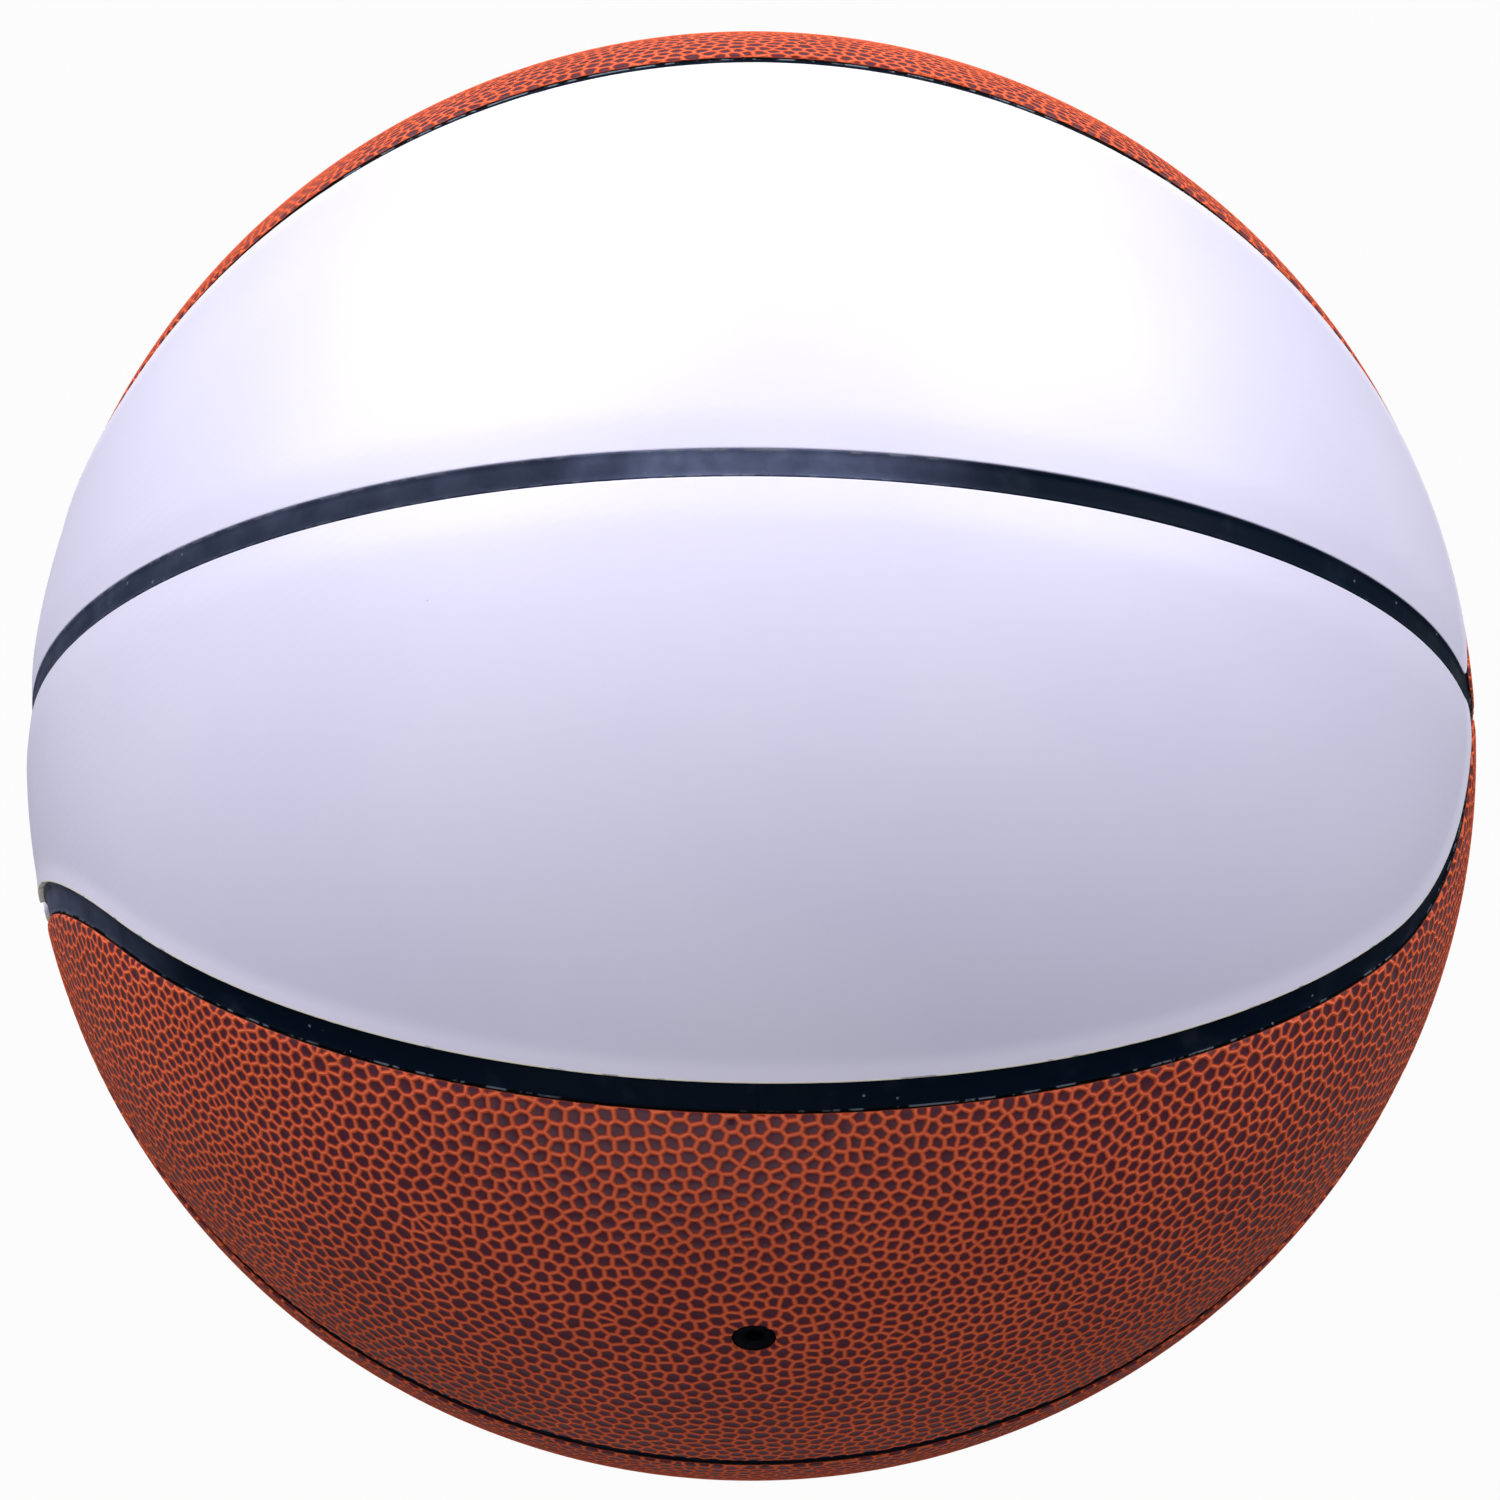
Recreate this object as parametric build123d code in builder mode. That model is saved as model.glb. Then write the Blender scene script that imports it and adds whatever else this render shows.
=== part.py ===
from build123d import *
from math import acos, atan, cos, degrees, radians, sin, sqrt
import os

# A size 7 ball of eight glued panels, in millimetres, +Z up, with the origin at its centre.
# Two straight channels run right round the ball, one in the XZ plane and one in the XY
# plane, and cross at the two ends of X. A third channel curves between them like the seam
# of a tennis ball, and parts each quarter of the ball into a smooth and a pebbled panel.

# Driving dimensions of the ball and its layers
ball_diameter = 241.0
cover_thickness = 1.2
backing_thickness = 0.8
carcass_thickness = 1.6
winding_thickness = 0.8
bladder_thickness = 0.9
layer_gap = 0.12

# Driving dimensions of the channels and the panel edges
straight_channel_width = 4.2
curved_channel_width = 5.0
channel_depth = 0.8
curve_crossing = 31.5
panel_edge_gap = 0.1
panel_corner_radius = 2.0
panel_edge_round = 0.9

# Driving dimensions of the valve
core_head_diameter = 6.4
core_head_recess = 0.4
core_head_round = 0.4
core_shank_diameter = 5.2
core_tip_diameter = 3.0
core_tip_length = 3.0
core_fit_gap = 0.05
needle_bore_diameter = 2.9
needle_bore_depth = 6.0
cover_hole_gap = 0.15
stem_diameter = 8.6
stem_hole_gap = 0.2
flange_diameter = 34.0
flange_thickness = 2.0
boss_diameter = 11.0
boss_length = 9.0
patch_diameter = 46.0
patch_thickness = 0.7

# Radii of the layers, from the outside in
ball_radius = ball_diameter / 2
rib_radius = ball_radius - channel_depth
cover_inner_radius = ball_radius - cover_thickness
backing_outer_radius = cover_inner_radius - layer_gap
backing_inner_radius = backing_outer_radius - backing_thickness
carcass_outer_radius = backing_inner_radius - layer_gap
carcass_inner_radius = carcass_outer_radius - carcass_thickness
winding_outer_radius = carcass_inner_radius - layer_gap
winding_inner_radius = winding_outer_radius - winding_thickness
bladder_outer_radius = winding_inner_radius - layer_gap
bladder_inner_radius = bladder_outer_radius - bladder_thickness
patch_outer_radius = bladder_inner_radius - layer_gap
patch_inner_radius = patch_outer_radius - patch_thickness
flange_outer_radius = patch_inner_radius - layer_gap
flange_inner_radius = flange_outer_radius - flange_thickness

# The curved channel in the front top quarter, where y is negative and z is positive.
# A long run follows the great circle midway between the straight channels. At each end a
# round turn, touching the run, meets a straight channel squarely. Angles are in radians.
crossing_angle = curve_crossing / ball_radius
turn_angle = atan(sin(crossing_angle) / (sqrt(2) - cos(crossing_angle)))
turn_centre_angle = crossing_angle + turn_angle
run_end_angle = acos(cos(turn_centre_angle) / cos(turn_angle))
turn_sweep = atan(1 / cos(turn_centre_angle))
half_right = sqrt(0.5)
run_axis = Vector(0, -half_right, -half_right)
run_start = Vector(
    cos(run_end_angle), -half_right * sin(run_end_angle), half_right * sin(run_end_angle)
)
run_end = Vector(-run_start.X, run_start.Y, run_start.Z)
right_turn_axis = Vector(cos(turn_centre_angle), 0, sin(turn_centre_angle))
left_turn_axis = Vector(-cos(turn_centre_angle), -sin(turn_centre_angle), 0)
curved_runs = [
    (right_turn_axis, run_start, degrees(turn_sweep)),
    (run_axis, run_start, 180 - 2 * degrees(run_end_angle)),
    (left_turn_axis, run_end, degrees(turn_sweep)),
]
corner_reach = ball_radius * cos((crossing_angle + run_end_angle) / 2)

# The valve stands in the middle of the pebbled panel of the front top quarter
valve_angle = radians(67.5)
valve_direction = Vector(0, -sin(valve_angle), cos(valve_angle))
valve_axis = Axis((0, 0, 0), valve_direction)
valve_section = Plane(
    origin=(0, 0, 0), x_dir=(1, 0, 0), z_dir=Vector(1, 0, 0).cross(valve_direction)
)
valve_plane = Plane(origin=(0, 0, 0), x_dir=(1, 0, 0), z_dir=valve_direction)
cover_hole_radius = core_head_diameter / 2 + cover_hole_gap
stem_hole_radius = stem_diameter / 2 + stem_hole_gap
core_bore_radius = core_shank_diameter / 2 + core_fit_gap
stem_top = carcass_outer_radius - layer_gap
core_head_bottom = stem_top + core_fit_gap
core_head_top = ball_radius - core_head_recess
needle_bore_bottom = core_head_top - needle_bore_depth
flange_middle = flange_inner_radius + flange_thickness / 2
boss_bottom = flange_inner_radius - boss_length
core_bottom = boss_bottom - core_tip_length

# Quarters of the ball: which side of Y and of Z each lies on
quarters = {
    "front_top": (-1, 1),
    "back_top": (1, 1),
    "back_bottom": (1, -1),
    "front_bottom": (-1, -1),
}

finishes = ("pebbled", "smooth")
valve_panel = ("pebbled", "front_top")
edge_share = 0.75
corner = (Align.MIN, Align.MIN)

os.makedirs("parts", exist_ok=True)


def write_piece(piece, name):
    """Label a finished piece and write it out."""
    piece.label = name
    export_step(piece, f"parts/{name}.step")
    print(name, len(piece.solids()), round(piece.volume, 1))


def panel_blanks(inner_radius, outer_radius, edge_gap):
    """The pebbled and the smooth panel of the front top quarter, cut from a shell."""
    straight_edge = straight_channel_width / 2 + edge_gap
    cut_width = curved_channel_width + 2 * edge_gap
    cut_height = 2 * (outer_radius - inner_radius)
    middle_radius = (outer_radius + inner_radius) / 2
    with BuildPart() as quarter:
        Sphere(outer_radius)
        Sphere(inner_radius, mode=Mode.SUBTRACT)
        split(bisect_by=Plane.XZ.offset(straight_edge), keep=Keep.TOP)
        split(bisect_by=Plane.XY.offset(straight_edge), keep=Keep.TOP)
        for axis, start, sweep in curved_runs:
            with BuildSketch(Plane(origin=(0, 0, 0), x_dir=start, z_dir=axis.cross(start))):
                with Locations((middle_radius, 0)):
                    Rectangle(cut_height, cut_width)
            revolve(axis=Axis((0, 0, 0), axis), revolution_arc=sweep, mode=Mode.SUBTRACT)
        walls = quarter.edges().filter_by(lambda edge: edge.length < cut_height)
        corners = walls.filter_by(lambda edge: abs(edge.center().X) > corner_reach)
        fillet(corners, radius=panel_corner_radius + edge_gap)
    return quarter.solids().sort_by(Axis.Z)


def outer_edges(panel):
    """The edges round a panel's outer face."""
    outer_face = panel.faces().filter_by(GeomType.SPHERE).sort_by(SortBy.AREA)[-1]
    return outer_face.edges()


def shell(inner_radius, outer_radius):
    """One closed layer of the ball, with a hole for the valve stem."""
    with BuildPart() as layer:
        Sphere(outer_radius)
        Sphere(inner_radius, mode=Mode.SUBTRACT)
        with BuildSketch(valve_plane):
            Circle(stem_hole_radius)
        extrude(amount=ball_radius, mode=Mode.SUBTRACT)
    return layer.part


def placed(blank, side_y, side_z):
    """A front top panel, mirrored into its own quarter of the ball."""
    with BuildPart() as panel:
        add(blank)
        if side_y > 0:
            mirror(about=Plane.XZ, mode=Mode.REPLACE)
        if side_z < 0:
            mirror(about=Plane.XY, mode=Mode.REPLACE)
    return panel.part


# Bladder and thread winding, hidden under the carcass
with BuildPart() as bladder:
    add(shell(bladder_inner_radius, bladder_outer_radius))
write_piece(bladder.part, "bladder")

with BuildPart() as thread_winding:
    add(shell(winding_inner_radius, winding_outer_radius))
write_piece(thread_winding.part, "thread_winding")

# Carcass: at full height it shows as the channels, and it is sunk under each panel
pockets = [
    placed(blank, side_y, side_z)
    for blank in panel_blanks(carcass_outer_radius, ball_radius, 0)
    for side_y, side_z in quarters.values()
]
with BuildPart() as carcass:
    add(shell(carcass_inner_radius, rib_radius))
    add(pockets, mode=Mode.SUBTRACT)
write_piece(carcass.part, "carcass")

# Cover panels with rounded outer edges, and their backings
layers = {
    "cover": (cover_inner_radius, ball_radius),
    "backing": (backing_inner_radius, backing_outer_radius),
}
for layer, (inner_radius, outer_radius) in layers.items():
    blanks = dict(zip(finishes, panel_blanks(inner_radius, outer_radius, panel_edge_gap)))
    for finish, blank in blanks.items():
        for quarter, (side_y, side_z) in quarters.items():
            with BuildPart() as panel:
                add(placed(blank, side_y, side_z))
                if layer == "cover":
                    fillet(outer_edges(panel), radius=min(panel_edge_round, edge_share * cover_thickness))
                if (finish, quarter) == valve_panel:
                    with BuildSketch(valve_plane):
                        Circle(cover_hole_radius)
                    extrude(amount=ball_diameter, mode=Mode.SUBTRACT)
            write_piece(panel.part, f"{finish}_{layer}_{quarter}")

# Valve patch: a rubber disc that spreads the valve's load over the inside of the bladder
with BuildPart() as valve_patch:
    with BuildSketch(valve_section):
        Circle(patch_outer_radius)
        Circle(patch_inner_radius, mode=Mode.SUBTRACT)
        Rectangle(patch_diameter / 2, ball_radius, align=corner, mode=Mode.INTERSECT)
        Rectangle(stem_hole_radius, ball_radius, align=corner, mode=Mode.SUBTRACT)
    revolve(axis=valve_axis)
write_piece(valve_patch.part, "valve_patch")

# Valve body: a curved flange under the patch, a stem out to the panel and a boss inwards
with BuildPart() as valve_body:
    with BuildSketch(valve_section):
        Circle(flange_outer_radius)
        Circle(flange_inner_radius, mode=Mode.SUBTRACT)
        Rectangle(flange_diameter / 2, ball_radius, align=corner, mode=Mode.INTERSECT)
        with Locations((0, boss_bottom)):
            Rectangle(boss_diameter / 2, flange_middle - boss_bottom, align=corner)
        with Locations((0, flange_middle)):
            Rectangle(stem_diameter / 2, stem_top - flange_middle, align=corner)
        Rectangle(core_bore_radius, ball_radius, align=corner, mode=Mode.SUBTRACT)
    revolve(axis=valve_axis)
write_piece(valve_body.part, "valve_body")

# Valve core: a push-in plug whose head fills the hole in the cover
with BuildPart() as valve_core:
    with BuildSketch(valve_section):
        with BuildLine():
            Polyline(
                (0, core_bottom),
                (core_tip_diameter / 2, core_bottom),
                (core_shank_diameter / 2, boss_bottom),
                (core_shank_diameter / 2, core_head_bottom),
                (core_head_diameter / 2, core_head_bottom),
                (core_head_diameter / 2, core_head_top),
                (needle_bore_diameter / 2, core_head_top),
                (needle_bore_diameter / 2, needle_bore_bottom),
                (0, needle_bore_bottom - needle_bore_diameter / 2),
                close=True,
            )
        make_face()
    revolve(axis=valve_axis)
    rim = valve_core.edges().filter_by(GeomType.CIRCLE).sort_by(valve_axis)[-2:]
    fillet(rim.sort_by(SortBy.RADIUS)[-1:], radius=core_head_round)
write_piece(valve_core.part, "valve_core")
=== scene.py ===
# %% [markdown]
# # A basketball with pebbled and smooth panels
# The ball is a rubber carcass with eight cover panels glued on: four pebbled and brown, four
# smooth and white. The carcass shows between them as black channels. This lesson loads the
# packed ball as a fixed frame and dresses it: the panels, the channels and the valve become
# finer meshes, and every layer gets a finish of its own.

import math
import random

import bmesh
import bpy
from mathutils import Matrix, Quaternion, Vector


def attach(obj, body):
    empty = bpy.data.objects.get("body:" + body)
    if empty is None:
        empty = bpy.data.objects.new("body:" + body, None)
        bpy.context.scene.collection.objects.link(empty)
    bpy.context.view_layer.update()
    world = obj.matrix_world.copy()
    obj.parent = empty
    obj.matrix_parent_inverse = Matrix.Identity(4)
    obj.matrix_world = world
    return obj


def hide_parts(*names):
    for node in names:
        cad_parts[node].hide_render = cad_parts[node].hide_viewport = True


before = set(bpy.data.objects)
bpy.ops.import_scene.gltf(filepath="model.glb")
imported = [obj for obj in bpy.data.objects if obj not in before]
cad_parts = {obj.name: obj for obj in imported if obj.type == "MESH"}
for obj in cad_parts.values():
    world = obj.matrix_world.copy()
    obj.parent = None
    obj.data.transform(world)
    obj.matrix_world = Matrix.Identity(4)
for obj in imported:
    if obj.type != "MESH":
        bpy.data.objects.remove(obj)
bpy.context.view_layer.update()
print("nodes in the frame:", len(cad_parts))

# %% [markdown]
# ## Sizes
# A real ball of this size is 241 mm across. Every length here is in metres, as Blender has it,
# and is written in millimetres so that it reads like a drawing. The panels and channels take
# their places from these few sizes, the same ones that the solid model has.

# %% Sizes of the ball
mm = 0.001
ball_radius = 120.5 * mm
cover_thickness = 1.2 * mm
channel_depth = 0.8 * mm
straight_channel_width = 4.2 * mm
curved_channel_width = 5.0 * mm
curve_crossing = 31.5 * mm
panel_gap = 0.1 * mm
corner_radius = 2.0 * mm
cover_inner_radius = ball_radius - cover_thickness
rib_radius = ball_radius - channel_depth
carcass_outer_radius = 118.26 * mm
carcass_inner_radius = 116.66 * mm
quarters = {
    "front_top": (-1, 1),
    "back_top": (1, 1),
    "back_bottom": (1, -1),
    "front_bottom": (-1, -1),
}
print("ball diameter in mm:", round(2 * ball_radius / mm, 1))

# %% [markdown]
# ## Where the channels run
# Two straight channels go right round the ball and cross at the ends of X. A third one curves
# between them like the seam of a tennis ball: a long run on a great circle, with a round turn
# at each end that meets a straight channel squarely. Each stretch is a circle on the ball, so
# the distance from it is one angle, and no list of points is needed. The other three quarters
# of the ball are mirror images, so a point is first mirrored into the front top quarter.

# %% Seam lines as distances
crossing_angle = curve_crossing / ball_radius
turn_angle = math.atan(math.sin(crossing_angle) / (math.sqrt(2) - math.cos(crossing_angle)))
turn_centre_angle = crossing_angle + turn_angle
run_end_angle = math.acos(math.cos(turn_centre_angle) / math.cos(turn_angle))
half_right = math.sqrt(0.5)
run_axis = Vector((0, -half_right, -half_right))
right_turn_axis = Vector((math.cos(turn_centre_angle), 0, math.sin(turn_centre_angle)))
left_turn_axis = Vector((-math.cos(turn_centre_angle), -math.sin(turn_centre_angle), 0))
gate_rise = half_right * math.cos(run_end_angle)
right_gate = Vector((math.sin(run_end_angle), gate_rise, -gate_rise))
left_gate = Vector((-math.sin(run_end_angle), gate_rise, -gate_rise))


def home_direction(point, sides):
    """The direction of a point, mirrored from its own quarter into the front top one."""
    side_y, side_z = sides
    return Vector((point.x, -point.y * side_y, point.z * side_z)).normalized()


def curve_offset(way):
    """Distance from the middle of the curved channel, positive on its pebbled side."""
    if way.dot(right_gate) > 0:
        angle = way.angle(right_turn_axis) - turn_angle
    elif way.dot(left_gate) > 0:
        angle = turn_angle - way.angle(left_turn_axis)
    else:
        angle = math.asin(way.dot(run_axis))
    return ball_radius * angle


def round_corner(first, second):
    """The lesser of two edge distances, rounded off where the two edges meet."""
    if max(first, second) < corner_radius:
        return corner_radius - math.hypot(corner_radius - first, corner_radius - second)
    return min(first, second)


def panel_inset(point, finish, sides, gap):
    """How far inside the edge of a panel a point lies, negative when it is outside."""
    way = home_direction(point, sides)
    side = 1 if finish == "pebbled" else -1
    from_upright = -way.y * ball_radius - straight_channel_width / 2 - gap
    from_level = way.z * ball_radius - straight_channel_width / 2 - gap
    from_curve = side * curve_offset(way) - curved_channel_width / 2 - gap
    return round_corner(round_corner(from_upright, from_level), from_curve)


top = Vector((0, 0, ball_radius))
top_inset = panel_inset(top, "smooth", quarters["front_top"], panel_gap)
print("top of the ball lies in a channel:", top_inset < 0)

# %% [markdown]
# ## Cutting a sphere along a line
# A panel is cut from a sheet that covers the whole ball. A plane can't follow the rounded
# corners, so the cut works as a scriber does: each vertex holds its distance from the panel's
# edge, every mesh edge that crosses a chosen distance is split there, and the new points are
# joined across the faces. A vertex that is already close to the line counts as lying on it, so
# no second point is put beside it. The same tool cuts the outline and lays extra loops along
# it, which the rounded edge then bends on.

# %% Tools for cutting and finishing
snap_distance = 0.04 * mm
fine_sphere = 7
net_margin = 2 * mm
sheet_margin = 3 * mm


def cut_line(bm, layer, level):
    """Draw a line of edges where a vertex value passes a level."""
    line = [vert for vert in bm.verts if abs(vert[layer] - level) < snap_distance]
    snapped = set(line)
    for vert in line:
        vert[layer] = level
    for edge in bm.edges[:]:
        start, end = edge.verts
        if start in snapped or end in snapped:
            continue
        if (start[layer] - level) * (end[layer] - level) < 0:
            share = (level - start[layer]) / (end[layer] - start[layer])
            point = bmesh.utils.edge_split(edge, start, share)[1]
            point[layer] = level
            line.append(point)
    bmesh.ops.connect_verts(bm, verts=line)


def keep_inside(bm, layer):
    """Delete every face outside the zero line of a vertex value."""
    outside = [face for face in bm.faces if sum(vert[layer] for vert in face.verts) < 0]
    bmesh.ops.delete(bm, geom=outside, context="FACES")


def set_radius(vert, radius):
    """Move a vertex straight in or out to a distance from the middle of the ball."""
    vert.co *= radius / vert.co.length


def add_piece(bm, name, body, finish, nodes):
    """Turn a bmesh into a named piece that rides on a body and stands for some nodes."""
    for face in bm.faces:
        face.smooth = True
    mesh = bpy.data.meshes.new(name)
    bm.to_mesh(mesh)
    mesh.materials.append(finish)
    triangles = sum(len(face.verts) - 2 for face in bm.faces)
    bm.free()
    piece = bpy.data.objects.new(name, mesh)
    bpy.context.scene.collection.objects.link(piece)
    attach(piece, body)
    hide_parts(*nodes)
    print(name, "triangles:", triangles)
    return piece


print("points closer than this to a cut count as on it, in mm:", snap_distance / mm)

# %% [markdown]
# ## Node helpers and shared effects
# The finishes are all procedural: noise and cell patterns on Object coordinates, or values that
# the meshes carry. Two effects serve more than one finish, so each is a node group: a fine
# moulded grain, and the specks of dust that a handled ball picks up.

# %% Node helpers


def add_node(tree, kind, settings=(), values=()):
    """Add a node, set its options and its unlinked inputs."""
    node = tree.nodes.new(kind)
    for name, value in dict(settings).items():
        setattr(node, name, value)
    for name, value in dict(values).items():
        node.inputs[name].default_value = value
    return node


def new_finish(name, roughness, specular=0.5):
    """A material with a Principled shader, and its node tree."""
    finish = bpy.data.materials.new(name)
    finish.use_nodes = True
    tree = finish.node_tree
    shader = tree.nodes["Principled BSDF"]
    shader.inputs["Roughness"].default_value = roughness
    shader.inputs["Specular IOR Level"].default_value = specular
    return finish, tree, shader


def new_group(name, numbers, results):
    """An empty shader node group with number inputs and number outputs."""
    group = bpy.data.node_groups.new(name, "ShaderNodeTree")
    for label, value in numbers.items():
        socket = group.interface.new_socket(label, in_out="INPUT", socket_type="NodeSocketFloat")
        socket.default_value = value
    for label in results:
        group.interface.new_socket(label, in_out="OUTPUT", socket_type="NodeSocketFloat")
    return group, group.nodes.new("NodeGroupInput"), group.nodes.new("NodeGroupOutput")


def use_group(tree, group, values):
    """Place a shared group in a finish with values of its own."""
    node = tree.nodes.new("ShaderNodeGroup")
    node.node_tree = group
    for name, value in values.items():
        node.inputs[name].default_value = value
    return node


def colour_ramp(tree, stops):
    """A colour ramp with the given stops, each a place and a linear colour."""
    node = tree.nodes.new("ShaderNodeValToRGB")
    elements = node.color_ramp.elements
    while len(elements) < len(stops):
        elements.new(0.5)
    for element, (place, colour) in zip(elements, stops):
        element.position = place
        element.color = (*colour, 1)
    return node


def mix_colour(tree, share, first, second):
    """Mix two colours, each a socket or a plain colour, by a share that varies."""
    node = add_node(tree, "ShaderNodeMix", {"data_type": "RGBA"})
    tree.links.new(share, node.inputs["Factor"])
    for socket, colour in zip(node.inputs[6:8], (first, second)):
        if isinstance(colour, tuple):
            socket.default_value = (*colour, 1)
        else:
            tree.links.new(colour, socket)
    return node.outputs[2]


def map_range(tree, value, low, high, to_low=0.0, to_high=1.0):
    """Stretch a range of values to another, smoothly and without passing its ends."""
    node = add_node(
        tree,
        "ShaderNodeMapRange",
        {"interpolation_type": "SMOOTHSTEP"},
        {"From Min": low, "From Max": high, "To Min": to_low, "To Max": to_high},
    )
    tree.links.new(value, node.inputs["Value"])
    return node.outputs["Result"]


def calculate(tree, operation, first, second):
    """One sum on values, each a socket or a number."""
    node = add_node(tree, "ShaderNodeMath", {"operation": operation})
    for socket, value in zip(node.inputs, (first, second)):
        if isinstance(value, (int, float)):
            socket.default_value = value
        else:
            tree.links.new(value, socket)
    return node.outputs[0]


def carried(tree, name):
    """A value that the mesh carries on its vertices."""
    return add_node(tree, "ShaderNodeAttribute", {"attribute_name": name}).outputs["Fac"]


def object_noise(tree, scale, detail=2.0, roughness=0.5):
    """Noise fixed to the piece."""
    place = tree.nodes.new("ShaderNodeTexCoord")
    noise = add_node(
        tree,
        "ShaderNodeTexNoise",
        values={"Scale": scale, "Detail": detail, "Roughness": roughness},
    )
    tree.links.new(place.outputs["Object"], noise.inputs["Vector"])
    return noise.outputs["Fac"]


def object_height(tree):
    """Height on the piece, over the middle of the ball."""
    place = tree.nodes.new("ShaderNodeTexCoord")
    split = tree.nodes.new("ShaderNodeSeparateXYZ")
    tree.links.new(place.outputs["Object"], split.inputs["Vector"])
    return split.outputs["Z"]


def press_bump(tree, shader, height, distance, strength=1.0):
    """Feed a height into the shader's normal."""
    bump = add_node(tree, "ShaderNodeBump", values={"Strength": strength, "Distance": distance})
    tree.links.new(height, bump.inputs["Height"])
    tree.links.new(bump.outputs["Normal"], shader.inputs["Normal"])


# %% Shared effect: moulded grain
moulded_grain, grain_in, grain_out = new_group(
    "moulded_grain", {"Scale": 2000.0, "Blotch Scale": 60.0}, ["Height", "Blotch"]
)
grain_place = moulded_grain.nodes.new("ShaderNodeTexCoord")
for label, result, detail in (("Scale", "Height", 3.0), ("Blotch Scale", "Blotch", 4.0)):
    noise = add_node(moulded_grain, "ShaderNodeTexNoise", values={"Detail": detail})
    moulded_grain.links.new(grain_place.outputs["Object"], noise.inputs["Vector"])
    moulded_grain.links.new(grain_in.outputs[label], noise.inputs["Scale"])
    moulded_grain.links.new(noise.outputs["Fac"], grain_out.inputs[result])
print("group:", moulded_grain.name)

# %% Shared effect: dust specks
dust_specks, specks_in, specks_out = new_group(
    "dust_specks", {"Scale": 150.0, "Size": 0.06, "Patches": 25.0, "Spread": 0.6}, ["Specks"]
)
speck_place = dust_specks.nodes.new("ShaderNodeTexCoord")
speck_cells = add_node(dust_specks, "ShaderNodeTexVoronoi")
speck_patches = add_node(dust_specks, "ShaderNodeTexNoise", values={"Detail": 3.0})
for node, label in ((speck_cells, "Scale"), (speck_patches, "Patches")):
    dust_specks.links.new(speck_place.outputs["Object"], node.inputs["Vector"])
    dust_specks.links.new(specks_in.outputs[label], node.inputs["Scale"])
near = calculate(dust_specks, "LESS_THAN", speck_cells.outputs["Distance"], specks_in.outputs["Size"])
dusty = calculate(dust_specks, "GREATER_THAN", speck_patches.outputs["Fac"], specks_in.outputs["Spread"])
speck_mask = calculate(dust_specks, "MULTIPLY", near, dusty)
dust_specks.links.new(speck_mask, specks_out.inputs["Specks"])
print("group:", dust_specks.name)

# %% [markdown]
# ## Finishes of the cover
# The brown panels are embossed: orange ridges stand round dark, slightly glossier dimples. The
# mesh carries a value from 0 on the crest of a ridge to 1 on the floor of a dimple, so one
# colour ramp paints ridge, slope and floor where they really are, and darkens the orange down the
# shoulder and wall as painted shade; the same value feeds a bump that sharpens the shading of the
# modelled wall. The cut edge is painted near black, a painted shadow of the gap. The white panels
# are smooth, with faint slanting lines from the calender. Along the curved channel their lip is
# painted lighter, a painted highlight, and a cream line shows the cut edge.

# %% Brown pebbled finish
ridge_orange = (0.93, 0.185, 0.085)
# The deeper orange and the red are painted shade on the shoulder and wall of each dimple.
shoulder_shade_orange = (0.70, 0.115, 0.050)
wall_shade_red = (0.29, 0.030, 0.013)
dimple_maroon = (0.084, 0.016, 0.030)
# Near black for the painted shadow in the gap between a panel and the channel.
gap_shadow_black = (0.0012, 0.0012, 0.0016)
dust_pale = (0.42, 0.34, 0.32)
ragged_share = 0.12
# Width of the painted gap shadow at the pebbled cut edge.
gap_shadow_line = (0.05 * mm, 0.14 * mm)
wall_bump = -7.0
pebble_bump_depth = 0.04 * mm


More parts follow.
